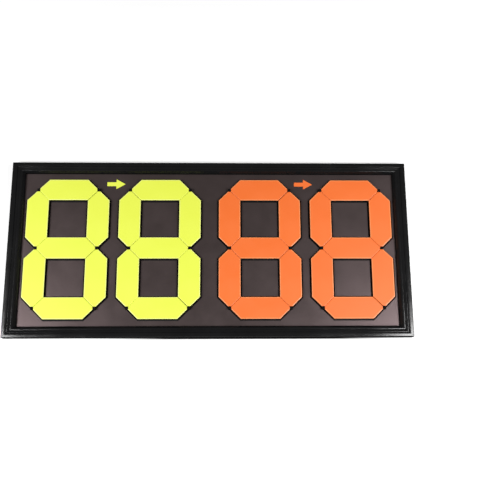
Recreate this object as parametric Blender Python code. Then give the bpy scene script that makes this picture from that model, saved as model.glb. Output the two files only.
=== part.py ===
"""A manual substitution board: four seven-segment digits made of turning flaps in a moulded frame.

The board lies on its back, face up. Metres; +X along the long side, +Y towards the top edge, +Z out of the
face. The origin is the middle of the back.
"""
import math

import bmesh
import bpy
from mathutils import Matrix, Vector

MM = 0.001

# Overall size and the frame's rails
BOARD_LENGTH = 840.0 * MM
BOARD_HEIGHT = 375.0 * MM
BOARD_THICKNESS = 20.0 * MM
SIDE_RAIL_WIDTH = 26.6 * MM
LONG_RAIL_WIDTH = 23.0 * MM
MITRE_GAP = 0.3 * MM
FIT_GAP = 0.3 * MM

# The moulding's section, from the outer edge inwards, for a rail of LONG_RAIL_WIDTH
EDGE_RADIUS = 2.0 * MM
BAND_START_HEIGHT = 19.85 * MM
BAND_END = 6.6 * MM
GROOVE = (6.9 * MM, 7.7 * MM)
GROOVE_HEIGHT = 18.2 * MM
LEDGE_START = (7.9 * MM, 19.1 * MM)
LEDGE_END = (12.9 * MM, 18.4 * MM)
BEAD_CROWN = (15.7 * MM, 19.8 * MM)
INNER_SHOULDER = (19.2 * MM, 19.3 * MM)
INNER_LIP_HEIGHT = 14.0 * MM
BACK_CHAMFER = 1.0 * MM
ARC_STEPS = 6

# Front sheet, held by its edges in a groove in the rails
SHEET_BOTTOM = 6.3 * MM
SHEET_TOP = 8.5 * MM
SHEET_GROOVE_DEPTH = 8.5 * MM
SHEET_EDGE_IN_GROOVE = 7.0 * MM

# Digits: seven flaps round a grid of six junctions
DIGIT_CENTRES = (-299.0 * MM, -105.5 * MM, 105.5 * MM, 299.0 * MM)
JUNCTION_PITCH = 127.2 * MM
AXIS_HEIGHT = 13.5 * MM
FLAP_WIDTH = 45.4 * MM
FLAP_THICKNESS = 3.6 * MM
FLAP_TIP_OFFSET = 3.4 * MM
FLAP_MITRE_GAP = 1.0 * MM
CLEARANCE_LINE = 3.0 * MM

# Pivots
PIN_RADIUS = 0.9 * MM
PIN_BORE_RADIUS = 1.0 * MM
PIN_END_OFFSET = 1.5 * MM
PIN_BORE_END_OFFSET = 1.25 * MM
PIN_SIDES = 12

# Digit grids behind the sheet
GRID_BOTTOM = 2.0 * MM
GRID_TOP = 6.0 * MM
GRID_OPENING_WIDTH = 45.0 * MM
GRID_RIB_WIDTH = 2.0 * MM
GRID_FLANGE = 6.5 * MM
POST_WIDTH = 5.6 * MM
POST_TOP = 15.8 * MM

# Corner keys in the back channel of the rails, and their screws
KEY_CENTRE = 12.5 * MM
KEY_WIDTH = 10.0 * MM
KEY_BOTTOM = 0.3 * MM
KEY_TOP = 2.9 * MM
KEY_LEG = 62.0 * MM
CHANNEL_DEPTH = 3.2 * MM
SCREW_FROM_CORNER = 50.0 * MM
SCREW_HEAD_RADIUS = 2.7 * MM
SCREW_HEAD_HEIGHT = 1.5 * MM
SCREW_SHANK_RADIUS = 1.2 * MM
SCREW_END = 9.0 * MM
SCREW_SOCKET_RADIUS = 0.9 * MM
SCREW_SOCKET_DEPTH = 0.9 * MM
SCREW_SIDES = 16

# Markers between the digits, near the top edge
MARKER_CENTRE_X = 200.0 * MM
MARKER_CENTRE_Y = 142.0 * MM
MARKER_LENGTH = 39.0 * MM
MARKER_HEIGHT = 22.0 * MM
MARKER_STEM_WIDTH = 8.8 * MM
MARKER_THICKNESS = 0.8 * MM

OVERSHOOT = 2.0 * MM


def clear_scene():
    for obj in list(bpy.data.objects):
        bpy.data.objects.remove(obj, do_unlink=True)


def make_material(name, colour, roughness, metallic=0.0):
    material = bpy.data.materials.new(name)
    material.use_nodes = True
    shader = material.node_tree.nodes["Principled BSDF"]
    shader.inputs["Base Color"].default_value = (*colour, 1.0)
    shader.inputs["Roughness"].default_value = roughness
    shader.inputs["Metallic"].default_value = metallic
    material.diffuse_color = (*colour, 1.0)
    return material


def link_mesh(name, mesh_data, material=None):
    mesh = bpy.data.meshes.new(name)
    mesh_data.normal_update()
    mesh_data.to_mesh(mesh)
    mesh_data.free()
    if material is not None:
        mesh.materials.append(material)
    obj = bpy.data.objects.new(name, mesh)
    bpy.context.scene.collection.objects.link(obj)
    return obj


def prism_between(name, lower, upper, material=None):
    """A closed solid between two rings of the same number of points."""
    shape = bmesh.new()
    low = [shape.verts.new(point) for point in lower]
    high = [shape.verts.new(point) for point in upper]
    shape.faces.new(list(reversed(low)))
    shape.faces.new(high)
    count = len(low)
    for i in range(count):
        j = (i + 1) % count
        shape.faces.new((low[i], low[j], high[j], high[i]))
    bmesh.ops.recalc_face_normals(shape, faces=shape.faces)
    return link_mesh(name, shape, material)


def prism(name, outline, bottom, top, material=None):
    """An outline in X and Y, extruded from one height to another."""
    lower = [(x, y, bottom) for x, y in outline]
    upper = [(x, y, top) for x, y in outline]
    return prism_between(name, lower, upper, material)


def rectangle(half_x, half_y, centre=(0.0, 0.0)):
    cx, cy = centre
    return [(cx - half_x, cy - half_y), (cx + half_x, cy - half_y),
            (cx + half_x, cy + half_y), (cx - half_x, cy + half_y)]


def turned(name, profile, sides, material=None):
    """A solid of revolution about Z; the profile is (radius, height) from bottom to top."""
    shape = bmesh.new()
    rings = []
    for radius, height in profile:
        ring = []
        for i in range(sides):
            angle = 2.0 * math.pi * (i + 0.5) / sides
            ring.append(shape.verts.new((radius * math.cos(angle), radius * math.sin(angle), height)))
        rings.append(ring)
    shape.faces.new(list(reversed(rings[0])))
    shape.faces.new(rings[-1])
    for lower, upper in zip(rings, rings[1:]):
        for i in range(sides):
            j = (i + 1) % sides
            shape.faces.new((lower[i], lower[j], upper[j], upper[i]))
    bmesh.ops.recalc_face_normals(shape, faces=shape.faces)
    return link_mesh(name, shape, material)


def rod(name, start, end, radius, sides):
    """A straight round rod between two points."""
    start = Vector(start)
    direction = Vector(end) - start
    obj = turned(name, [(radius, 0.0), (radius, direction.length)], sides)
    turn = direction.to_track_quat("Z", "Y").to_matrix().to_4x4()
    obj.data.transform(Matrix.Translation(start) @ turn)
    return obj


def combine(target, tool, operation):
    """Union or cut with a helper solid, which is then removed."""
    modifier = target.modifiers.new(operation.title(), "BOOLEAN")
    modifier.operation = operation
    modifier.solver = "EXACT"
    modifier.object = tool
    depsgraph = bpy.context.evaluated_depsgraph_get()
    result = bpy.data.meshes.new_from_object(target.evaluated_get(depsgraph))
    target.modifiers.remove(modifier)
    old = target.data
    result.name = old.name
    target.data = result
    bpy.data.meshes.remove(old)
    bpy.data.objects.remove(tool, do_unlink=True)


def cut(target, tool):
    combine(target, tool, "DIFFERENCE")


def join(target, tool):
    combine(target, tool, "UNION")


# ---------------------------------------------------------------- frame rails

def quarter(steep, level):
    """A quarter ellipse in the section, steep at its first point and level at its second."""
    angles = [math.pi / 2 * i / ARC_STEPS for i in range(ARC_STEPS + 1)]
    return [(level[0] + (steep[0] - level[0]) * math.cos(a), steep[1] + (level[1] - steep[1]) * math.sin(a))
            for a in angles]


def moulding_profile():
    """The rail's section as (distance from the outer edge, height), for a rail of LONG_RAIL_WIDTH."""
    inner = LONG_RAIL_WIDTH
    groove_floor = inner - SHEET_GROOVE_DEPTH
    groove_low, groove_high = SHEET_BOTTOM - FIT_GAP, SHEET_TOP + FIT_GAP
    channel_half = KEY_WIDTH / 2 + FIT_GAP
    channel = (KEY_CENTRE - channel_half, KEY_CENTRE + channel_half)
    face = [(0.0, 0.0)]
    face += quarter((0.0, BAND_START_HEIGHT - EDGE_RADIUS), (EDGE_RADIUS, BAND_START_HEIGHT))
    face += [(BAND_END, BOARD_THICKNESS), (GROOVE[0], GROOVE_HEIGHT), (GROOVE[1], GROOVE_HEIGHT), LEDGE_START]
    face += quarter(LEDGE_END, BEAD_CROWN)
    face += [INNER_SHOULDER, (inner, INNER_LIP_HEIGHT)]
    inner_side = [(inner, groove_high), (groove_floor, groove_high), (groove_floor, groove_low),
                  (inner, groove_low), (inner, BACK_CHAMFER), (inner - BACK_CHAMFER, 0.0)]
    back = [(channel[1], 0.0), (channel[1], CHANNEL_DEPTH), (channel[0], CHANNEL_DEPTH), (channel[0], 0.0)]
    return face + inner_side + back


def build_rail(name, along, half_length, half_across, width, end_width, material):
    """A rail with mitred ends. along is its direction and the outside lies on its right-hand side."""
    along = Vector(along)
    inward = Vector((-along.y, along.x, 0.0))
    start, end = [], []
    for s, z in moulding_profile():
        inset = s * width / LONG_RAIL_WIDTH
        end_inset = s * end_width / LONG_RAIL_WIDTH
        reach = half_length - end_inset - MITRE_GAP / 2
        across = inward * (inset - half_across) + Vector((0.0, 0.0, z))
        start.append(across - along * reach)
        end.append(across + along * reach)
    return prism_between(name, start, end, material)


def build_frame(material):
    half_x, half_y = BOARD_LENGTH / 2, BOARD_HEIGHT / 2
    long_rail = (half_x, half_y, LONG_RAIL_WIDTH, SIDE_RAIL_WIDTH)
    side_rail = (half_y, half_x, SIDE_RAIL_WIDTH, LONG_RAIL_WIDTH)
    return {
        "bottom": build_rail("rail_bottom", (1, 0, 0), *long_rail, material),
        "right": build_rail("rail_right", (0, 1, 0), *side_rail, material),
        "top": build_rail("rail_top", (-1, 0, 0), *long_rail, material),
        "left": build_rail("rail_left", (0, -1, 0), *side_rail, material),
    }


# ---------------------------------------------------------------- corner keys and screws

def screw_profile(radius_gap=0.0, end_gap=0.0):
    """A countersunk screw standing on its head, or the hole it goes into when gaps are given."""
    head = SCREW_HEAD_RADIUS + radius_gap
    shank = SCREW_SHANK_RADIUS + radius_gap
    head_top = KEY_BOTTOM + SCREW_HEAD_HEIGHT
    return [(head, KEY_BOTTOM), (shank, head_top), (shank, SCREW_END + end_gap)]


def screw_hole(x, y):
    profile = screw_profile(FIT_GAP, FIT_GAP)
    profile.insert(0, (profile[0][0], -OVERSHOOT))
    tool = turned("screw_hole", profile, SCREW_SIDES)
    tool.data.transform(Matrix.Translation((x, y, 0.0)))
    return tool


def build_screw(name, x, y, material):
    screw = turned(name, screw_profile(), SCREW_SIDES, material)
    socket_top = KEY_BOTTOM + SCREW_SOCKET_DEPTH
    socket = turned("socket", [(SCREW_SOCKET_RADIUS, -OVERSHOOT), (SCREW_SOCKET_RADIUS, socket_top)], 6)
    cut(screw, socket)
    screw.location = (x, y, 0.0)
    return screw


def build_corner(corner, side_x, side_y, rails, key_material, screw_material):
    """One L-shaped key with a screw in each leg, let into the backs of two rails."""
    key_x = BOARD_LENGTH / 2 - KEY_CENTRE * SIDE_RAIL_WIDTH / LONG_RAIL_WIDTH
    key_y = BOARD_HEIGHT / 2 - KEY_CENTRE
    half = KEY_WIDTH / 2
    outline = [(key_x + half, key_y + half), (key_x - KEY_LEG, key_y + half), (key_x - KEY_LEG, key_y - half),
               (key_x - half, key_y - half), (key_x - half, key_y - KEY_LEG), (key_x + half, key_y - KEY_LEG)]
    outline = [(x * side_x, y * side_y) for x, y in outline]
    key = prism("corner_key_" + corner, outline, KEY_BOTTOM, KEY_TOP, key_material)
    long_rail = rails["top" if side_y > 0 else "bottom"]
    side_rail = rails["right" if side_x > 0 else "left"]
    places = {
        "long": (long_rail, (key_x - SCREW_FROM_CORNER) * side_x, key_y * side_y),
        "side": (side_rail, key_x * side_x, (key_y - SCREW_FROM_CORNER) * side_y),
    }
    for leg, (rail, x, y) in places.items():
        cut(key, screw_hole(x, y))
        cut(rail, screw_hole(x, y))
        build_screw("key_screw_" + corner + "_" + leg, x, y, screw_material)


def build_corners(rails, key_material, screw_material):
    corners = {"top_left": (-1, 1), "top_right": (1, 1), "bottom_left": (-1, -1), "bottom_right": (1, -1)}
    for corner, (side_x, side_y) in corners.items():
        build_corner(corner, side_x, side_y, rails, key_material, screw_material)


# ---------------------------------------------------------------- digits

def flap_places():
    """Name, middle (from the digit's middle) and direction of the seven flaps of a digit."""
    half, pitch = JUNCTION_PITCH / 2, JUNCTION_PITCH
    across, upright = (1.0, 0.0), (0.0, 1.0)
    return [
        ("top", (0.0, pitch), across),
        ("upper_left", (-half, half), upright),
        ("upper_right", (half, half), upright),
        ("middle", (0.0, 0.0), across),
        ("lower_left", (-half, -half), upright),
        ("lower_right", (half, -half), upright),
        ("bottom", (0.0, -pitch), across),
    ]


def junctions():
    half, pitch = JUNCTION_PITCH / 2, JUNCTION_PITCH
    return [(x, y) for x in (-half, half) for y in (-pitch, 0.0, pitch)]


def octagon(half_width, tip_offset, diagonal_gap, direction, centre):
    """A flap's outline, or one like it: parallel sides and 45 degree ends cut off square.

    diagonal_gap is how far the slanting edges stay, square to them, from the diagonals through the
    junctions; a negative one reaches past them.
    """
    slack = diagonal_gap * math.sqrt(2.0)
    shoulder = JUNCTION_PITCH / 2 - half_width - slack
    tip = JUNCTION_PITCH / 2 - tip_offset
    tip_half = tip_offset - slack
    quarter = [(shoulder, half_width), (tip, tip_half)]
    points = quarter + [(u, -v) for u, v in reversed(quarter)]
    points += [(-u, -v) for u, v in points]
    dx, dy = direction
    cx, cy = centre
    return [(cx + u * dx - v * dy, cy + u * dy + v * dx) for u, v in reversed(points)]


def build_flap(name, centre, direction, material):
    """An octagonal plate with a pivot pin at each end; its origin is on its axis."""
    outline = octagon(FLAP_WIDTH / 2, FLAP_TIP_OFFSET, FLAP_MITRE_GAP / 2, direction, (0.0, 0.0))
    flap = prism(name, outline, -FLAP_THICKNESS / 2, FLAP_THICKNESS / 2, material)
    axis = Vector((*direction, 0.0))
    root = JUNCTION_PITCH / 2 - FLAP_TIP_OFFSET - OVERSHOOT
    end = JUNCTION_PITCH / 2 - PIN_END_OFFSET
    for side in (-1.0, 1.0):
        join(flap, rod("pin", axis * root * side, axis * end * side, PIN_RADIUS, PIN_SIDES))
    flap.location = (*centre, AXIS_HEIGHT)
    return flap


def pin_bore(centre, direction, side):
    """The cutter for one pin's bore in a post."""
    axis = Vector((*direction, 0.0)) * side
    middle = Vector((*centre, AXIS_HEIGHT))
    inner = JUNCTION_PITCH / 2 - PIN_BORE_END_OFFSET
    outer = JUNCTION_PITCH / 2 - POST_WIDTH / 2 - OVERSHOOT
    return rod("bore", middle + axis * outer, middle + axis * inner, PIN_BORE_RADIUS, PIN_SIDES)


def build_digit_grid(name, centre_x, material):
    """The moulded grid behind one digit: slots for the flaps, window squares and pivot posts."""
    opening_half = GRID_OPENING_WIDTH / 2
    half_x = JUNCTION_PITCH / 2 + opening_half + GRID_FLANGE
    half_y = JUNCTION_PITCH + opening_half + GRID_FLANGE
    grid = prism(name, rectangle(half_x, half_y), GRID_BOTTOM, GRID_TOP, material)
    for _, centre, direction in flap_places():
        outline = octagon(opening_half, POST_WIDTH / 2, GRID_RIB_WIDTH / 2, direction, centre)
        cut(grid, prism("slot", outline, GRID_BOTTOM - OVERSHOOT, GRID_TOP + OVERSHOOT))
    middle_height = (GRID_BOTTOM + GRID_TOP) / 2
    window_half = JUNCTION_PITCH / 2 - FLAP_WIDTH / 2 - CLEARANCE_LINE
    for side in (-1.0, 1.0):
        window = rectangle(window_half, window_half, (0.0, side * JUNCTION_PITCH / 2))
        join(grid, prism("window", window, middle_height, SHEET_TOP))
    for place in junctions():
        post = rectangle(POST_WIDTH / 2, POST_WIDTH / 2, place)
        join(grid, prism("post", post, middle_height, POST_TOP))
    for _, centre, direction in flap_places():
        for side in (-1.0, 1.0):
            cut(grid, pin_bore(centre, direction, side))
    grid.location = (centre_x, 0.0, 0.0)
    return grid


def build_front_sheet(material):
    """The sheet in front of the grids, open where the flaps turn and round the posts and windows."""
    half_x = BOARD_LENGTH / 2 - SIDE_RAIL_WIDTH + SHEET_EDGE_IN_GROOVE
    half_y = BOARD_HEIGHT / 2 - LONG_RAIL_WIDTH + SHEET_EDGE_IN_GROOVE
    sheet = prism("front_sheet", rectangle(half_x, half_y), SHEET_BOTTOM, SHEET_TOP, material)
    low, high = SHEET_BOTTOM - OVERSHOOT, SHEET_TOP + OVERSHOOT
    flap_half = FLAP_WIDTH / 2 + CLEARANCE_LINE
    diagonal_gap = FLAP_MITRE_GAP / 2 - CLEARANCE_LINE
    notch_half = POST_WIDTH / 2 + FIT_GAP
    window_half = JUNCTION_PITCH / 2 - FLAP_WIDTH / 2
    for centre_x in DIGIT_CENTRES:
        for _, (x, y), direction in flap_places():
            outline = octagon(flap_half, notch_half, diagonal_gap, direction, (x + centre_x, y))
            cut(sheet, prism("slot", outline, low, high))
        for x, y in junctions():
            notch = rectangle(notch_half, notch_half, (x + centre_x, y))
            cut(sheet, prism("notch", notch, low - OVERSHOOT, high + OVERSHOOT))
        for side in (-1.0, 1.0):
            window = rectangle(window_half, window_half, (centre_x, side * JUNCTION_PITCH / 2))
            cut(sheet, prism("window", window, low - OVERSHOOT / 2, high + OVERSHOOT / 2))
    return sheet


def build_digits(flap_materials, grid_material):
    for number, centre_x in enumerate(DIGIT_CENTRES, start=1):
        build_digit_grid("digit_grid_%d" % number, centre_x, grid_material)
        material = flap_materials[0] if centre_x < 0 else flap_materials[1]
        for place, (x, y), direction in flap_places():
            build_flap("flap_d%d_%s" % (number, place), (centre_x + x, y), direction, material)


# ---------------------------------------------------------------- markers

def build_marker(name, centre_x, material):
    """A plain arrow plate on the front sheet, pointing along +X."""
    half_length, half_height, stem_half = MARKER_LENGTH / 2, MARKER_HEIGHT / 2, MARKER_STEM_WIDTH / 2
    outline = [(-half_length, -stem_half), (0.0, -stem_half), (0.0, -half_height), (half_length, 0.0),
               (0.0, half_height), (0.0, stem_half), (-half_length, stem_half)]
    marker = prism(name, outline, 0.0, MARKER_THICKNESS, material)
    marker.location = (centre_x, MARKER_CENTRE_Y, SHEET_TOP + FIT_GAP)
    return marker


def main():
    clear_scene()
    frame_black = make_material("frame_black", (0.012, 0.012, 0.013), 0.22)
    sheet_black = make_material("sheet_black", (0.068, 0.05, 0.047), 0.42)
    grid_black = make_material("grid_black", (0.06, 0.045, 0.042), 0.5)
    yellow = make_material("flap_yellow", (0.90, 0.99, 0.11), 0.5)
    orange = make_material("flap_orange", (0.98, 0.20, 0.05), 0.5)
    key_steel = make_material("key_steel", (0.45, 0.45, 0.46), 0.4, 1.0)
    screw_steel = make_material("screw_steel", (0.2, 0.2, 0.21), 0.35, 1.0)
    rails = build_frame(frame_black)
    build_corners(rails, key_steel, screw_steel)
    build_front_sheet(sheet_black)
    build_digits((yellow, orange), grid_black)
    build_marker("marker_in", -MARKER_CENTRE_X, yellow)
    build_marker("marker_out", MARKER_CENTRE_X, orange)


main()
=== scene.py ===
"""Looks for the manual substitution board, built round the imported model. Metres, the part's own frame."""

import math
import random

import bmesh
import bpy
from mathutils import Matrix, Vector


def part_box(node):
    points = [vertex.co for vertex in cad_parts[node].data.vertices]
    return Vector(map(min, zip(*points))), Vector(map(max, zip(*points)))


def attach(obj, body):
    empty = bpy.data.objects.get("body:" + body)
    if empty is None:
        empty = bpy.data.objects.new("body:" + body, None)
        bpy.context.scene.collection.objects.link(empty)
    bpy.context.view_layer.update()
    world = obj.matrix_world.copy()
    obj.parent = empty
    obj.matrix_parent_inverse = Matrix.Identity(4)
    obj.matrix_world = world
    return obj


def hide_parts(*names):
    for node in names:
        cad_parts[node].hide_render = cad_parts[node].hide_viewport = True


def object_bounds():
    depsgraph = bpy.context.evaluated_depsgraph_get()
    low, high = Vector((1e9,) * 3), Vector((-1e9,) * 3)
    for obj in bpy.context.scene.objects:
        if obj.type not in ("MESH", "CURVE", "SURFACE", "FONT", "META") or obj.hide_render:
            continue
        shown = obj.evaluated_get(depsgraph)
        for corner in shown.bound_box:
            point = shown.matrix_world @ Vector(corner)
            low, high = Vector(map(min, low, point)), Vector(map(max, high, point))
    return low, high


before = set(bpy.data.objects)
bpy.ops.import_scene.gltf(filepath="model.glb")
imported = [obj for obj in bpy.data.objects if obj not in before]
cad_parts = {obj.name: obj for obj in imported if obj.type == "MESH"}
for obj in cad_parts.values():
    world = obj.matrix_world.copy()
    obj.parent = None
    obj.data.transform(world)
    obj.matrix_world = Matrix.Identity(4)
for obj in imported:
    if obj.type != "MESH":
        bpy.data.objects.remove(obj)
cad_low, cad_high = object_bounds()

MM = 0.001
ROOT = "board"
DIGITS = (1, 2, 3, 4)
LAST_YELLOW_DIGIT = 2
FLAP_PLACES = ("top", "upper_left", "upper_right", "middle", "lower_left", "lower_right", "bottom")
CORNERS = ("top_left", "top_right", "bottom_left", "bottom_right")
RAIL_DIRECTIONS = {"bottom": (1, 0), "right": (0, 1), "top": (-1, 0), "left": (0, -1)}

# The design's own sizes, as in the part
PITCH = 127.2 * MM
FLAP_HALF = 22.7 * MM
FLAP_THICKNESS = 3.6 * MM
TIP_OFFSET = 3.4 * MM
DIAGONAL_GAP = 0.5 * MM
CLEARANCE_LINE = 3.0 * MM
PIN_RADIUS = 0.9 * MM
PIN_END_OFFSET = 1.5 * MM
BORE_RADIUS = 1.0 * MM
AXIS_HEIGHT = 13.5 * MM
GRID_BOTTOM = 2.0 * MM
GRID_TOP = 6.0 * MM
GRID_SLOT_HALF = 22.5 * MM
GRID_RIB_HALF = 1.0 * MM
POST_HALF = 2.8 * MM
FIT_GAP = 0.3 * MM
MITRE_GAP = 0.3 * MM
LONG_RAIL_WIDTH = 23.0 * MM
SIDE_RAIL_WIDTH = 26.6 * MM
KEY_CENTRE = 12.5 * MM
KEY_HALF = 5.0 * MM
KEY_LEG = 62.0 * MM
SHANK_RADIUS = 1.2 * MM
HEAD_HEIGHT = 1.5 * MM
SOCKET_RADIUS = 0.9 * MM
SOCKET_DEPTH = 0.9 * MM
MARKER_STEM_HALF = 4.4 * MM

# Drawn otherwise than in the part: closer mitres between flaps, and deeper bores for the flaps' shifts
CAP_GAP = 0.2 * MM
BORE_END_OFFSET = 0.7 * MM

# Roundings of the plates, as (edge, corner)
KEY_ROUNDING = (0.25 * MM, 1.0 * MM)
GRID_ROUNDING = (0.25 * MM, 0.5 * MM)
WINDOW_ROUNDING = (0.2 * MM, 0.6 * MM)
POST_ROUNDING = (0.3 * MM, 0.5 * MM)
SHEET_ROUNDING = (0.2 * MM, 0.4 * MM)
MARKER_ROUNDING = (0.15 * MM, 0.5 * MM)
FLAP_CORNER = 0.8 * MM

# An inset corner keeps at least this share of its plate's corner radius
LEAST_CORNER_SHARE = 0.25

# Angles between faces, in degrees, above which their edge is sharp
PLATE_SHARP = 50.0
TURNED_SHARP = 35.0
RAIL_SHARP = 25.0

# How far a cutter runs past a face, and a pin into its flap
OVERSHOOT = 1.0 * MM

rng = random.Random(28)


# ---------------------------------------------------------------- outlines

def neighbours(points, i):
    """The point before, the point itself and the point after it, round a closed outline."""
    return (Vector(points[(i + k) % len(points)]) for k in (-1, 0, 1))


def offset(points, distance):
    """A counter-clockwise outline moved inwards by a distance, or outwards by a negative one."""
    result = []
    for i in range(len(points)):
        before, here, after = neighbours(points, i)
        first, second = (here - before).normalized(), (after - here).normalized()
        normal_one, normal_two = Vector((-first.y, first.x)), Vector((-second.y, second.x))
        reach = distance / (1.0 + normal_one.dot(normal_two))
        result.append(tuple(here + (normal_one + normal_two) * reach))
    return result


def rounded(points, radius, steps):
    """The outline with each corner replaced by an arc."""
    result = []
    for i in range(len(points)):
        before, here, after = neighbours(points, i)
        back, ahead = (before - here).normalized(), (after - here).normalized()
        half_angle = back.angle(ahead) / 2
        cut = radius / math.tan(half_angle)
        centre = here + (back + ahead).normalized() * (radius / math.sin(half_angle))
        start, end = here + back * cut - centre, here + ahead * cut - centre
        sweep = start.angle_signed(end)
        for k in range(steps + 1):
            turn = Matrix.Rotation(-sweep * k / steps, 2)
            result.append(tuple(centre + turn @ start))
    return result


def rectangle(half_x, half_y, centre=(0.0, 0.0)):
    """A rectangle's four corners, counter-clockwise."""
    cx, cy = centre
    return [(cx - half_x, cy - half_y), (cx + half_x, cy - half_y),
            (cx + half_x, cy + half_y), (cx - half_x, cy + half_y)]


def octagon(half_width, tip_offset, diagonal_gap, upright=False, centre=(0.0, 0.0)):
    """A flap's outline, or one like it: parallel sides and 45 degree ends cut off square."""
    slack = diagonal_gap * math.sqrt(2.0)
    shoulder = PITCH / 2 - half_width - slack
    tip, tip_half = PITCH / 2 - tip_offset, tip_offset - slack
    points = [(shoulder, half_width), (-shoulder, half_width), (-tip, tip_half), (-tip, -tip_half),
              (-shoulder, -half_width), (shoulder, -half_width), (tip, -tip_half), (tip, tip_half)]
    if upright:
        points = [(-y, x) for x, y in points]
    return [(centre[0] + x, centre[1] + y) for x, y in points]


def flap_centre(place):
    """A flap's middle, from its digit's middle, and whether it stands upright."""
    half = PITCH / 2
    places = {"top": (0.0, PITCH), "middle": (0.0, 0.0), "bottom": (0.0, -PITCH),
              "upper_left": (-half, half), "upper_right": (half, half),
              "lower_left": (-half, -half), "lower_right": (half, -half)}
    return places[place], "left" in place or "right" in place


def digit_opening(centre_x):
    """The 8-shaped opening in the front sheet: flaps, clearance and post notches in one outline."""
    edge = FLAP_HALF + CLEARANCE_LINE
    rise = (CLEARANCE_LINE - DIAGONAL_GAP) * math.sqrt(2.0)
    notch = POST_HALF + FIT_GAP
    half = PITCH / 2
    shoulder, mouth = edge - rise, notch - rise
    quadrant = [(half + notch, mouth), (half + edge, shoulder), (half + edge, PITCH - shoulder),
                (half + notch, PITCH - mouth), (half + notch, PITCH + notch), (half - mouth, PITCH + notch),
                (half - shoulder, PITCH + edge)]
    right = [(x, -y) for x, y in reversed(quadrant)] + quadrant
    left = [(-x, -y) for x, y in right]
    return [(centre_x + x, y) for x, y in right + left]


# ---------------------------------------------------------------- solids

def link(name, mesh, materials):
    """Puts a mesh in the scene as an object with the given materials."""
    for material in materials:
        mesh.materials.append(material)
    obj = bpy.data.objects.new(name, mesh)
    bpy.context.scene.collection.objects.link(obj)
    return obj


def finish_mesh(name, shape, materials, sharp):
    """Turns the drawn faces into a smooth shaded object with sharp edges above an angle."""
    bmesh.ops.recalc_face_normals(shape, faces=shape.faces)
    mesh = bpy.data.meshes.new(name)
    shape.to_mesh(mesh)
    shape.free()
    mesh.shade_smooth()
    mesh.set_sharp_from_angle(angle=math.radians(sharp))
    return link(name, mesh, materials)


def ring_edges(shape, ring):
    """The edges round a closed ring of vertices."""
    return [shape.edges.get((vertex, ring[(i + 1) % len(ring)])) for i, vertex in enumerate(ring)]


def bridge(shape, lower, upper, index=0):
    """The wall of faces between two rings of the same length."""
    count = len(lower)
    for i in range(count):
        j = (i + 1) % count
        face = shape.faces.new((lower[i], lower[j], upper[j], upper[i]))
        face.material_index = index


def layered(name, outer, holes, levels, materials, corner, steps=3):
    """A plate with holes. Each level is (inset, height, material index of the wall that rises from it)."""
    shape = bmesh.new()
    bottom_edges, top_edges = [], []
    for outline, sign in [(outer, 1.0)] + [(hole, -1.0) for hole in holes]:
        rings = []
        for inset, height, _ in levels:
            radius = max(corner - inset * sign, corner * LEAST_CORNER_SHARE)
            ring = rounded(offset(outline, inset * sign), radius, steps)
            rings.append([shape.verts.new((x, y, height)) for x, y in ring])
        for lower, upper, (_, _, index) in zip(rings, rings[1:], levels):
            bridge(shape, lower, upper, index)
        bottom_edges += ring_edges(shape, rings[0])
        top_edges += ring_edges(shape, rings[-1])
    for edges, index in ((bottom_edges, levels[0][2]), (top_edges, levels[-1][2])):
        filled = bmesh.ops.triangle_fill(shape, use_beauty=True, use_dissolve=False, edges=edges)
        for face in (item for item in filled["geom"] if isinstance(item, bmesh.types.BMFace)):
            face.material_index = index
    return finish_mesh(name, shape, materials, PLATE_SHARP)


def plate(name, outline, holes, bottom, top, rounding, material, steps=3):
    """A plate with rounded edges and corners, and a narrow flat rim that keeps its faces flat."""
    edge, corner = rounding
    bevel, rim = edge * 0.3, edge * 2.2
    levels = [(rim, bottom), (edge, bottom), (bevel, bottom + bevel), (0.0, bottom + edge)]
    levels += [(inset, bottom + top - height) for inset, height in reversed(levels)]
    levels = [(inset, height, 0) for inset, height in levels]
    return layered(name, outline, holes, levels, [material], corner, steps)


def turned(name, profile, materials, sides=32):
    """A solid of revolution about Z from (radius, height) points, bottom to top."""
    shape = bmesh.new()
    rings = []
    for radius, height in profile:
        ring = []
        for i in range(sides):
            angle = 2.0 * math.pi * (i + 0.5) / sides
            ring.append(shape.verts.new((radius * math.cos(angle), radius * math.sin(angle), height)))
        rings.append(ring)
    shape.faces.new(list(reversed(rings[0])))
    shape.faces.new(rings[-1])
    for lower, upper in zip(rings, rings[1:]):
        bridge(shape, lower, upper)
    return finish_mesh(name, shape, materials, TURNED_SHARP)


def rod(start, end, radius):
    """A round rod between two points."""
    start, end = Vector(start), Vector(end)
    obj = turned("rod", [(radius, 0.0), (radius, (end - start).length)], [], 24)
    turn = (end - start).to_track_quat("Z", "Y").to_matrix().to_4x4()
    obj.data.transform(Matrix.Translation(start) @ turn)
    return obj


def combine(target, tool, operation):
    """Union or cut with a helper solid, which is then removed."""
    modifier = target.modifiers.new("combine", "BOOLEAN")
    modifier.operation = operation
    modifier.solver = "EXACT"
    modifier.object = tool
    depsgraph = bpy.context.evaluated_depsgraph_get()
    result = bpy.data.meshes.new_from_object(target.evaluated_get(depsgraph))
    target.modifiers.remove(modifier)
    target.data = result
    bpy.data.objects.remove(tool, do_unlink=True)


# ---------------------------------------------------------------- materials

# A Mix node keeps its colour sockets at these places
MIX_FIRST, MIX_SECOND, MIX_RESULT = 6, 7, 2

# Blender's own value for plain plastic
PLAIN_SPECULAR = 0.5

# Scales of the plastics' noise patterns: a larger number is a finer pattern
MOTTLE_SCALE = 9.0
WAVE_SCALE = 14.0
GLOSS_SCALE = 23.0
MOULDED_GRAIN = 1200.0


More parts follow.
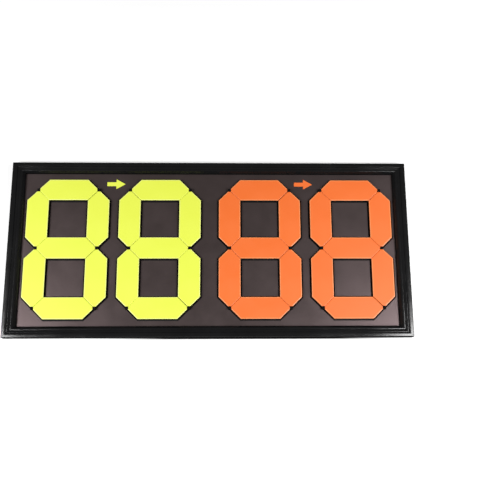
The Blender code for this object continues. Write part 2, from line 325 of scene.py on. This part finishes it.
class Shader:
    """A material and short ways to add and link its nodes."""

    def __init__(self, name):
        self.material = bpy.data.materials.new(name)
        self.material.use_nodes = True
        self.tree = self.material.node_tree
        self.bsdf = self.tree.nodes["Principled BSDF"]
        self.place = self.add("ShaderNodeTexCoord").outputs["Object"]

    def add(self, kind, **settings):
        node = self.tree.nodes.new(kind)
        for key, value in settings.items():
            setattr(node, key, value)
        return node

    def join(self, source, target):
        self.tree.links.new(source, target)

    def put(self, socket, value):
        self.bsdf.inputs[socket].default_value = value

    def feed(self, source, socket):
        self.join(source, self.bsdf.inputs[socket])

    def parts(self, vector):
        """The X, Y and Z of a vector."""
        split = self.add("ShaderNodeSeparateXYZ")
        self.join(vector, split.inputs["Vector"])
        return split.outputs

    def stretched(self, scale):
        """The place on the piece, scaled along each axis."""
        mapping = self.add("ShaderNodeMapping")
        mapping.inputs["Scale"].default_value = scale
        self.join(self.place, mapping.inputs["Vector"])
        return mapping.outputs["Vector"]

    def noise(self, scale, detail=3.0, roughness=0.5, vector=None):
        node = self.add("ShaderNodeTexNoise")
        node.inputs["Scale"].default_value = scale
        node.inputs["Detail"].default_value = detail
        node.inputs["Roughness"].default_value = roughness
        self.join(vector or self.place, node.inputs["Vector"])
        return node.outputs["Fac"]

    def spread(self, value, low, high, start=0.35, end=0.65):
        """Maps a value from start-end to low-high."""
        node = self.add("ShaderNodeMapRange")
        for socket, number in zip(("From Min", "From Max", "To Min", "To Max"), (start, end, low, high)):
            node.inputs[socket].default_value = number
        self.join(value, node.inputs["Value"])
        return node.outputs["Result"]

    def product(self, first, second):
        node = self.add("ShaderNodeMath", operation="MULTIPLY")
        self.join(first, node.inputs[0])
        self.join(second, node.inputs[1])
        return node.outputs["Value"]

    def mix(self, factor, first, second):
        """Blends two colours, each a tuple or another node's output."""
        node = self.add("ShaderNodeMix", data_type="RGBA")
        self.join(factor, node.inputs["Factor"])
        for place, colour in ((MIX_FIRST, first), (MIX_SECOND, second)):
            if isinstance(colour, tuple):
                node.inputs[place].default_value = (*colour, 1.0)
            else:
                self.join(colour, node.inputs[place])
        return node.outputs[MIX_RESULT]

    def bump(self, height, distance, strength, normal=None):
        node = self.add("ShaderNodeBump")
        node.inputs["Distance"].default_value = distance
        node.inputs["Strength"].default_value = strength
        self.join(height, node.inputs["Height"])
        if normal is not None:
            self.join(normal, node.inputs["Normal"])
        return node.outputs["Normal"]


def plastic(name, light, dark, rough, grain_scale, grain_depth, wave_depth=0.0, specular=PLAIN_SPECULAR):
    """Moulded plastic: faint mottling, uneven gloss, a fine grain and, if asked, a slow waviness."""
    shader = Shader(name)
    mottle = shader.spread(shader.noise(MOTTLE_SCALE, 4.0), 0.0, 1.0)
    shader.feed(shader.mix(mottle, dark, light), "Base Color")
    gloss = shader.spread(shader.noise(GLOSS_SCALE, 5.0, 0.6), rough[0], rough[1])
    shader.feed(gloss, "Roughness")
    normal = None
    if wave_depth:
        normal = shader.bump(shader.noise(WAVE_SCALE, 1.0), wave_depth, 0.5)
    grain = shader.bump(shader.noise(grain_scale, 2.0), grain_depth, 0.6, normal)
    shader.feed(grain, "Normal")
    shader.put("Specular IOR Level", specular)
    return shader


def moulding():
    """Gloss black plastic that shines where it faces forward and is dull on steep sides."""
    shader = plastic("frame_black", light=(0.0065, 0.0065, 0.0068), dark=(0.0045, 0.0045, 0.0048),
                     rough=(0.13, 0.19), grain_scale=800.0, grain_depth=0.01 * MM, wave_depth=0.2 * MM)
    facing = shader.add("ShaderNodeTexCoord").outputs["Normal"]
    forward = shader.parts(facing)["Z"]
    shader.feed(shader.spread(forward, 0.0, 0.9, 0.3, 0.75), "Specular IOR Level")
    return shader.material


def satin():
    """The front sheet's dark plastic, with a strong warm sheen."""
    shader = plastic("sheet_black", light=(0.028, 0.0216, 0.0202), dark=(0.025, 0.0192, 0.0179),
                     rough=(0.32, 0.37), grain_scale=1500.0, grain_depth=0.04 * MM, specular=1.0)
    shader.put("IOR", 1.6)
    shader.put("Specular Tint", (1.0, 0.76, 0.78, 1.0))
    return shader.material


def grid_plastic():
    """The digit grids' dull black, darker than the sheet: the grid's own black and painted shade in the gaps
    round the flaps.
    """
    return plastic("grid_black", light=(0.012, 0.010, 0.010), dark=(0.008, 0.007, 0.007),
                   rough=(0.45, 0.6), grain_scale=MOULDED_GRAIN, grain_depth=0.04 * MM, specular=0.2).material


def core_plastic():
    """The black rear half of a flap."""
    return plastic("core_black", light=(0.014, 0.013, 0.013), dark=(0.009, 0.009, 0.009),
                   rough=(0.4, 0.5), grain_scale=1400.0, grain_depth=0.03 * MM, specular=0.05).material


def post_plastic():
    """The pivot posts' deep black."""
    return plastic("post_black", light=(0.004, 0.004, 0.004), dark=(0.003, 0.003, 0.003),
                   rough=(0.6, 0.75), grain_scale=MOULDED_GRAIN, grain_depth=0.04 * MM, specular=0.1).material


def fluorescent(name, light, dark, rough):
    """A flap's fluorescent plastic."""
    return plastic(name, light, dark, rough, MOULDED_GRAIN, 0.03 * MM).material


def metal(name, light, dark, rough, streak=(1.0, 1.0, 1.0)):
    """Plated steel with faint brushing and dull patches."""
    shader = Shader(name)
    patches = shader.spread(shader.noise(60.0, 4.0), 0.0, 1.0)
    shader.feed(shader.mix(patches, dark, light), "Base Color")
    lines = shader.noise(900.0, 2.0, 0.5, shader.stretched(streak))
    shader.feed(shader.spread(lines, rough[0], rough[1]), "Roughness")
    shader.feed(shader.bump(lines, 0.02 * MM, 0.4), "Normal")
    shader.put("Metallic", 1.0)
    return shader.material


FACE_ROUGHNESS = (0.42, 0.52)
RIM_HIGHLIGHT_ROUGHNESS = (0.35, 0.45)

FRAME_BLACK = moulding()
SHEET_BLACK = satin()
# The grids' black is partly painted shade: it darkens the gaps round the flaps on every side
GRID_BLACK_AND_SHADE = grid_plastic()
CORE_BLACK = core_plastic()
YELLOW = fluorescent("yellow_face", (0.735, 0.815, 0.078), (0.72, 0.80, 0.072), FACE_ROUGHNESS)
ORANGE = fluorescent("orange_face", (0.81, 0.160, 0.026), (0.79, 0.149, 0.023), FACE_ROUGHNESS)
# The rim colours are paler than the faces: a painted highlight along the flaps' bevelled edges
YELLOW_RIM_HIGHLIGHT = fluorescent("yellow_painted_rim_highlight", (0.80, 0.86, 0.22), (0.79, 0.85, 0.20), RIM_HIGHLIGHT_ROUGHNESS)
ORANGE_RIM_HIGHLIGHT = fluorescent("orange_painted_rim_highlight", (0.86, 0.27, 0.095), (0.85, 0.26, 0.085), RIM_HIGHLIGHT_ROUGHNESS)
POST_BLACK = post_plastic()
KEY_STEEL = metal("key_steel", (0.55, 0.55, 0.56), (0.42, 0.42, 0.43), (0.28, 0.45), (1.0, 12.0, 1.0))
SCREW_STEEL = metal("screw_steel", (0.20, 0.20, 0.21), (0.13, 0.13, 0.14), (0.25, 0.4))


# ---------------------------------------------------------------- frame rails

ARC_STEPS = 12

# Where a rail has its cross sections, as shares of its half length
STATIONS = (-1.0, -0.998, -0.6, -0.2, 0.2, 0.6, 0.998, 1.0)


def quarter(steep, level):
    """A quarter ellipse in the section, steep at its first point and level at its second."""
    angles = [math.pi / 2 * i / ARC_STEPS for i in range(ARC_STEPS + 1)]
    return [(level[0] + (steep[0] - level[0]) * math.cos(a), steep[1] + (level[1] - steep[1]) * math.sin(a))
            for a in angles]


def moulding_profile():
    """The section of a rail of LONG_RAIL_WIDTH as (distance from the outer edge, height)."""
    # In millimetres up to the last line
    inner = LONG_RAIL_WIDTH / MM
    sheet_low, sheet_high, sheet_reach = 6.0, 8.8, 14.5
    channel_centre, channel_half, channel_depth = KEY_CENTRE / MM, (KEY_HALF + FIT_GAP) / MM, 3.2
    outer_side = [(0.3, 0.0), (0.0, 0.3)] + quarter((0.0, 18.35), (1.5, 19.85))
    band = [(4.2, 19.9), (8.7, 19.99)]
    groove = [(9.0, 19.9), (9.12, 19.7), (9.4, 18.5), (9.55, 18.4), (10.0, 18.4), (10.3, 19.0)]
    bead = quarter((14.2, 18.4), (16.0, 19.8)) + [(17.6, 19.65), (19.2, 19.3)]
    lip = [(inner, 14.0)]
    sheet_slot = [(inner, sheet_high), (sheet_reach, sheet_high),
                  (sheet_reach, sheet_low), (inner, sheet_low)]
    foot = [(inner, 1.0), (inner - 1.0, 0.0)]
    channel = [(channel_centre + channel_half, 0.0), (channel_centre + channel_half, channel_depth),
               (channel_centre - channel_half, channel_depth), (channel_centre - channel_half, 0.0)]
    section = outer_side + band + groove + bead + lip + sheet_slot + foot + channel
    return [(s * MM, z * MM) for s, z in section]


def build_rail(side):
    """A mitred rail, swept along its length between the mitre planes."""
    name = "rail_" + side
    along = Vector((*RAIL_DIRECTIONS[side], 0.0))
    inward = Vector((-along.y, along.x, 0.0))
    if side in ("bottom", "top"):
        half_length, half_across = cad_high.x, cad_high.y
        width, end_width = LONG_RAIL_WIDTH, SIDE_RAIL_WIDTH
    else:
        half_length, half_across = cad_high.y, cad_high.x
        width, end_width = SIDE_RAIL_WIDTH, LONG_RAIL_WIDTH
    shape = bmesh.new()
    sections = []
    for station in STATIONS:
        section = []
        for s, z in moulding_profile():
            inset, end_inset = s * width / LONG_RAIL_WIDTH, s * end_width / LONG_RAIL_WIDTH
            reach = half_length - end_inset - MITRE_GAP / 2
            point = inward * (inset - half_across) + along * (reach * station)
            section.append(shape.verts.new((point.x, point.y, z)))
        sections.append(section)
    for first, second in zip(sections, sections[1:]):
        bridge(shape, first, second)
    for section in (sections[0], sections[-1]):
        bmesh.ops.triangle_fill(shape, use_beauty=True, edges=ring_edges(shape, section))
    rail = finish_mesh(name + "_moulding", shape, [FRAME_BLACK], RAIL_SHARP)
    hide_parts(name)
    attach(rail, ROOT)


# ---------------------------------------------------------------- corner keys and screws

def build_corner(corner):
    """An L-shaped key plate with two countersunk holes, and its screws."""
    side_x = -1.0 if "left" in corner else 1.0
    side_y = -1.0 if "bottom" in corner else 1.0
    key_x = cad_high.x - KEY_CENTRE * SIDE_RAIL_WIDTH / LONG_RAIL_WIDTH
    key_y = cad_high.y - KEY_CENTRE
    outline = [(key_x + KEY_HALF, key_y + KEY_HALF), (key_x - KEY_LEG, key_y + KEY_HALF),
               (key_x - KEY_LEG, key_y - KEY_HALF), (key_x - KEY_HALF, key_y - KEY_HALF),
               (key_x - KEY_HALF, key_y - KEY_LEG), (key_x + KEY_HALF, key_y - KEY_LEG)]
    outline = [(x * side_x, y * side_y) for x, y in outline]
    if side_x * side_y < 0:
        outline.reverse()
    name = "corner_key_" + corner
    low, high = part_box(name)
    key = plate(name + "_plate", outline, [], low.z, high.z, KEY_ROUNDING, KEY_STEEL)
    for leg in ("long", "side"):
        screw_name = "key_screw_%s_%s" % (corner, leg)
        screw_low, screw_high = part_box(screw_name)
        centre = (screw_low + screw_high) / 2
        radius = (screw_high.x - screw_low.x) / 2
        mouth, throat = radius + FIT_GAP, SHANK_RADIUS + FIT_GAP
        sink = turned("sink", [(mouth, low.z - OVERSHOOT), (mouth, low.z), (throat, low.z + HEAD_HEIGHT),
                               (throat, high.z + OVERSHOOT)], [KEY_STEEL])
        sink.data.transform(Matrix.Translation((centre.x, centre.y, 0.0)))
        combine(key, sink, "DIFFERENCE")
        build_screw(screw_name, centre, radius, screw_low.z, screw_high.z)
    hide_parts(name)
    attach(key, ROOT)


def build_screw(name, centre, radius, low, high):
    """A countersunk screw with a hexagon socket, head down."""
    head_chamfer, head_rim = 0.25 * MM, 0.15 * MM
    thread_start, thread_end = low + 3.0 * MM, high - 0.6 * MM
    pitch = 0.8 * MM
    root, crest_rise = SHANK_RADIUS * 0.84, pitch * 0.45
    point_radius, point_length = SHANK_RADIUS * 0.5, 0.5 * MM
    profile = [(radius - head_chamfer, low), (radius, low + head_rim), (SHANK_RADIUS, low + HEAD_HEIGHT)]
    for i in range(int((thread_end - thread_start) / pitch)):
        z = thread_start + i * pitch
        profile += [(root, z), (SHANK_RADIUS, z + crest_rise)]
    profile += [(root, high - point_length), (point_radius, high)]
    screw = turned(name + "_steel", profile, [SCREW_STEEL])
    hexagon = [(SOCKET_RADIUS, low - OVERSHOOT), (SOCKET_RADIUS, low + SOCKET_DEPTH)]
    combine(screw, turned("socket", hexagon, [SCREW_STEEL], 6), "DIFFERENCE")
    screw.location = (centre.x, centre.y, 0.0)
    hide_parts(name)
    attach(screw, ROOT)


# ---------------------------------------------------------------- digits

# A flap mesh's material slots; the rim slot's paler colour is a painted highlight along the edge bevel
CORE, CAP, RIM_HIGHLIGHT = 0, 1, 2

# A flap's section from the back up: inset in millimetres, height as a share of half the thickness, and the
# material from there on
FLAP_LEVELS = ((1.5, -1.0, CORE), (0.8, -1.0, CORE), (0.4, -0.92, CORE), (0.2, -0.7, CORE), (0.2, 0.5, CORE),
               (0.0, 0.54, RIM_HIGHLIGHT), (0.0, 0.7, RIM_HIGHLIGHT), (0.08, 0.87, RIM_HIGHLIGHT), (0.3, 1.0, RIM_HIGHLIGHT), (1.8, 1.0, CAP),
               (2.6, 1.0, CAP))
SHOULDER_LENGTH = 0.1 * MM
SHOULDER_RADIUS = PIN_RADIUS * 1.5

# Play of every flap along its axis in millimetres and about it in degrees, to either side
AXIAL_PLAY = 0.06
TILT_PLAY = 0.5

# Flaps that sit towards one end and show a darker mitre at the other, in millimetres along their own axis
AXIAL_SHIFTS = {"d1_top": -0.4, "d1_middle": -0.3, "d2_top": 0.3, "d2_bottom": -0.42, "d2_lower_right": 0.4,
                "d3_top": -0.42, "d3_upper_right": -0.4, "d4_bottom": -0.42, "d4_lower_right": 0.4}

# How deep the window squares and the posts are sunk into their grid
WINDOW_SUNK = 0.4 * MM
POST_SUNK = 1.0 * MM


def build_flap_mesh():
    """One flap lying along X with its axis at the origin: a coloured cap on a black core, and two pins."""
    half = FLAP_THICKNESS / 2
    outline = octagon(FLAP_HALF, TIP_OFFSET, CAP_GAP)
    levels = [(inset * MM, share * half, index) for inset, share, index in FLAP_LEVELS]
    flap = layered("flap", outline, [], levels, [CORE_BLACK, YELLOW, YELLOW_RIM_HIGHLIGHT], FLAP_CORNER, 4)
    tip, pin_end = PITCH / 2 - TIP_OFFSET, PITCH / 2 - PIN_END_OFFSET
    start = tip - OVERSHOOT
    for side in (-1.0, 1.0):
        shoulder = rod((side * start, 0, 0), (side * (tip + SHOULDER_LENGTH), 0, 0), SHOULDER_RADIUS)
        pin = rod((side * start, 0, 0), (side * pin_end, 0, 0), PIN_RADIUS)
        combine(flap, shoulder, "UNION")
        combine(flap, pin, "UNION")
    mesh = flap.data
    bpy.data.objects.remove(flap, do_unlink=True)
    return mesh


def fade_mitres(mesh, place):
    """Takes the painted rim highlight off a flap's ends where they meet other flaps: the digit's outer side
    keeps it.
    """
    outer = {"top": 1.0, "upper_left": 1.0, "lower_left": 1.0, "middle": 0.0}.get(place, -1.0)
    end_start = PITCH / 2 - FLAP_HALF - 1.0 * MM
    for face in mesh.polygons:
        if face.material_index == RIM_HIGHLIGHT and abs(face.center.x) > end_start and face.center.y * outer <= 0.0:
            face.material_index = CAP


def build_flaps():
    """The 28 flaps, each with its own small play along its axis and about it."""
    pattern = build_flap_mesh()
    for digit in DIGITS:
        yellow = digit <= LAST_YELLOW_DIGIT
        for place in FLAP_PLACES:
            label = "d%d_%s" % (digit, place)
            name = "flap_" + label
            low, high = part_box(name)
            _, upright = flap_centre(place)
            play = rng.uniform(-AXIAL_PLAY, AXIAL_PLAY) * MM + AXIAL_SHIFTS.get(label, 0.0) * MM
            tilt = math.radians(rng.uniform(-TILT_PLAY, TILT_PLAY))
            mesh = pattern.copy()
            if not yellow:
                mesh.materials[CAP], mesh.materials[RIM_HIGHLIGHT] = ORANGE, ORANGE_RIM_HIGHLIGHT
            fade_mitres(mesh, place)
            turn = Matrix.Rotation(math.pi / 2 if upright else 0.0, 4, "Z")
            mesh.transform(turn @ Matrix.Rotation(tilt, 4, "X") @ Matrix.Translation((play, 0.0, 0.0)))
            flap = link(name + "_face", mesh, [])
            flap.location = (low + high) / 2
            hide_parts(name)
            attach(flap, name)


def build_grid(digit):
    """The black grid behind a digit, the satin window squares on it and its pivot posts."""
    name = "digit_grid_%d" % digit
    low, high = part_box(name)
    centre_x = (low.x + high.x) / 2
    outer = rectangle((high.x - low.x) / 2, high.y, (centre_x, 0.0))
    slots = []
    for place in FLAP_PLACES:
        (x, y), upright = flap_centre(place)
        slots.append(octagon(GRID_SLOT_HALF, POST_HALF, GRID_RIB_HALF, upright, (centre_x + x, y)))
    grid = plate(name + "_plate", outer, slots, GRID_BOTTOM, GRID_TOP, GRID_ROUNDING, GRID_BLACK_AND_SHADE, 2)
    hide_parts(name)
    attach(grid, ROOT)
    build_windows(name, centre_x)
    half = PITCH / 2
    for column, x in (("left", -half), ("right", half)):
        for row, y in (("top", PITCH), ("middle", 0.0), ("bottom", -PITCH)):
            build_post("%s_post_%s_%s" % (name, row, column), centre_x + x, y, column, row, high.z)


def build_windows(name, centre_x):
    """The two satin squares inside a digit, level with the front sheet."""
    half = PITCH / 2
    window_half = half - FLAP_HALF - CLEARANCE_LINE
    sheet_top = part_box("front_sheet")[1].z
    for side, place in ((1.0, "upper"), (-1.0, "lower")):
        outline = rectangle(window_half, window_half, (centre_x, side * half))
        window = plate("%s_window_%s" % (name, place), outline, [], GRID_TOP - WINDOW_SUNK, sheet_top,
                       WINDOW_ROUNDING, SHEET_BLACK)
        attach(window, ROOT)


def build_post(name, x, y, column, row, top):
    """A square pivot post with a bore for each pin that turns in it."""
    outline = rectangle(POST_HALF, POST_HALF, (x, y))
    post = plate(name, outline, [], GRID_TOP - POST_SUNK, top, POST_ROUNDING, POST_BLACK)
    rises = {"top": (-1.0,), "middle": (1.0, -1.0), "bottom": (1.0,)}
    arms = [(1.0 if column == "left" else -1.0, 0.0)] + [(0.0, rise) for rise in rises[row]]
    mouth = POST_HALF + OVERSHOOT
    for dx, dy in arms:
        start = (x + dx * BORE_END_OFFSET, y + dy * BORE_END_OFFSET, AXIS_HEIGHT)
        end = (x + dx * mouth, y + dy * mouth, AXIS_HEIGHT)
        combine(post, rod(start, end, BORE_RADIUS), "DIFFERENCE")
    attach(post, ROOT)


def build_sheet():
    """The dark front sheet with an opening for each digit."""
    low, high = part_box("front_sheet")
    openings = []
    for digit in DIGITS:
        grid_low, grid_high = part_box("digit_grid_%d" % digit)
        openings.append(digit_opening((grid_low.x + grid_high.x) / 2))
    outline = rectangle(high.x, high.y)
    sheet = plate("front_sheet_satin", outline, openings, low.z, high.z, SHEET_ROUNDING, SHEET_BLACK, 2)
    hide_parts("front_sheet")
    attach(sheet, ROOT)


def build_marker(name, material):
    """A plain arrow pointing along +X."""
    low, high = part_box(name)
    cx, cy = (low.x + high.x) / 2, (low.y + high.y) / 2
    length, height, stem = (high.x - low.x) / 2, (high.y - low.y) / 2, MARKER_STEM_HALF
    outline = [(-length, -stem), (0.0, -stem), (0.0, -height), (length, 0.0), (0.0, height), (0.0, stem),
               (-length, stem)]
    outline = [(cx + x, cy + y) for x, y in outline]
    marker = plate(name + "_plate", outline, [], low.z, high.z, MARKER_ROUNDING, material)
    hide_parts(name)
    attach(marker, ROOT)


# ---------------------------------------------------------------- floor, lights, camera

FLOOR_HALF = 4.0
FLOOR_HEIGHT = -0.4 * MM
# The dark sheet under the board is painted shade: it stands in for the shadow beneath the board
UNDER_BOARD_SHADE_HEIGHT = -0.2 * MM
UNDER_BOARD_SHADE_MARGIN = 8.0 * MM
FLOOR_GLOW = 0.18
WHITE = (1.0, 1.0, 1.0, 1.0)

# The shade drawn on the floor: each pair is where it starts and where it is full. The first and the last
# are measured down and up from the board's lower edge, the other two along X.
SHADE_BELOW_EDGE = (3.4 * MM, 1.2 * MM)
SHADE_LEFT_END = (-260.0 * MM, -90.0 * MM)
SHADE_RIGHT_END = (440.0 * MM, 270.0 * MM)
SHADE_ABOVE_EDGE = (40.0 * MM, 20.0 * MM)

SOFTBOX_HEIGHT = 1.5

CAMERA_DISTANCE = 1.578
CAMERA_TILT = math.radians(13.94)
CAMERA_PAN = math.radians(1.67)
CAMERA_TARGET = Vector((38.5, -5.8, 20.0)) * MM

# In millimetres, as a camera counts them
SENSOR_WIDTH = 36.0
LENS = 54.36


def flat_piece(name, half_x, half_y, height, shader):
    """A level rectangle of the stage."""
    mesh = bpy.data.meshes.new(name)
    corners = [(x, y, 0.0) for x, y in rectangle(half_x, half_y)]
    mesh.from_pydata(corners, [], [(0, 1, 2, 3)])
    piece = link(name, mesh, [shader.material])
    piece.location.z = height


def contact_shade(shader):
    """The strength of the shade drawn along the board's lower edge: 0 on the open floor, 1 in its core."""
    edge = cad_low.y
    place = shader.parts(shader.place)
    shade = shader.spread(place["Y"], 0.0, 1.0, edge - SHADE_BELOW_EDGE[0], edge - SHADE_BELOW_EDGE[1])
    left = shader.spread(place["X"], 0.0, 1.0, *SHADE_LEFT_END)
    right = shader.spread(place["X"], 0.0, 1.0, *SHADE_RIGHT_END)
    above = shader.spread(place["Y"], 0.0, 1.0, edge + SHADE_ABOVE_EDGE[0], edge + SHADE_ABOVE_EDGE[1])
    for limit in (left, right, above):
        shade = shader.product(shade, limit)
    return shade


def build_floor():
    """A white floor with the drawn shade, and a dark sheet on it, hidden under the board, that is painted
    shade standing in for the board's shadow on the floor.
    """
    white = Shader("floor_white")
    tone = white.spread(white.noise(3.0), 0.0, 1.0)
    paper = white.mix(tone, (0.94, 0.94, 0.94), (0.95, 0.95, 0.95))
    shade = contact_shade(white)
    white.feed(white.mix(shade, paper, (0.01, 0.01, 0.01)), "Base Color")
    white.put("Roughness", 0.9)
    white.put("Emission Color", WHITE)
    white.feed(white.spread(shade, FLOOR_GLOW, 0.0, 0.0, 1.0), "Emission Strength")
    white.put("Specular IOR Level", 0.1)
    flat_piece("floor", FLOOR_HALF, FLOOR_HALF, FLOOR_HEIGHT, white)
    # Painted shade under the board: a dark sheet where the floor lies in the board's shadow
    dark = Shader("under_board_shade_dark")
    shade_speckle = dark.spread(dark.noise(700.0), 0.0, 1.0)
    dark.feed(dark.mix(shade_speckle, (0.016, 0.016, 0.016), (0.022, 0.022, 0.022)), "Base Color")
    dark.put("Roughness", 0.95)
    dark.put("Specular IOR Level", 0.0)
    flat_piece("under_board_shade", cad_high.x - UNDER_BOARD_SHADE_MARGIN, cad_high.y - UNDER_BOARD_SHADE_MARGIN, UNDER_BOARD_SHADE_HEIGHT, dark)


def soft_light(name, x_range, y_range, power):
    """A softbox hanging level over part of the floor."""
    data = bpy.data.lights.new(name, "AREA")
    data.shape = "RECTANGLE"
    data.size, data.size_y = x_range[1] - x_range[0], y_range[1] - y_range[0]
    data.energy = power
    light = bpy.data.objects.new(name, data)
    light.location = (sum(x_range) / 2, sum(y_range) / 2, SOFTBOX_HEIGHT)
    bpy.context.scene.collection.objects.link(light)


def build_lights():
    """Two softboxes, one over each side of the board's lower half, and a faint even light all round."""
    soft_light("softbox_left", x_range=(-1.9, -0.84), y_range=(-1.1, 0.02), power=46.0)
    soft_light("softbox_right", x_range=(0.72, 1.77), y_range=(-1.1, 0.05), power=45.5)
    world = bpy.data.worlds.new("studio")
    world.use_nodes = True
    background = world.node_tree.nodes["Background"]
    background.inputs["Color"].default_value = WHITE
    background.inputs["Strength"].default_value = 0.05
    bpy.context.scene.world = world
    bpy.context.scene.view_settings.view_transform = "Standard"


def build_camera():
    """The photograph's view: from the board's lower side, about 14 degrees off its normal."""
    data = bpy.data.cameras.new("camera")
    data.sensor_width = SENSOR_WIDTH
    data.lens = LENS
    camera = bpy.data.objects.new("camera", data)
    bpy.context.scene.collection.objects.link(camera)
    forward = Vector((0.0, math.sin(CAMERA_TILT), -math.cos(CAMERA_TILT)))
    upward = Vector((0.0, math.cos(CAMERA_TILT), math.sin(CAMERA_TILT)))
    right = Vector((1.0, 0.0, 0.0))
    camera.location = CAMERA_TARGET - forward * CAMERA_DISTANCE
    forward, right = (forward * math.cos(CAMERA_PAN) + right * math.sin(CAMERA_PAN),
                      right * math.cos(CAMERA_PAN) - forward * math.sin(CAMERA_PAN))
    camera.rotation_mode = "QUATERNION"
    camera.rotation_quaternion = Matrix((right, upward, -forward)).transposed().to_quaternion()
    bpy.context.scene.camera = camera


for rail_side in RAIL_DIRECTIONS:
    build_rail(rail_side)
for corner_name in CORNERS:
    build_corner(corner_name)
build_sheet()
for digit_number in DIGITS:
    build_grid(digit_number)
build_flaps()
build_marker("marker_in", YELLOW)
build_marker("marker_out", ORANGE)
build_floor()
build_lights()
build_camera()
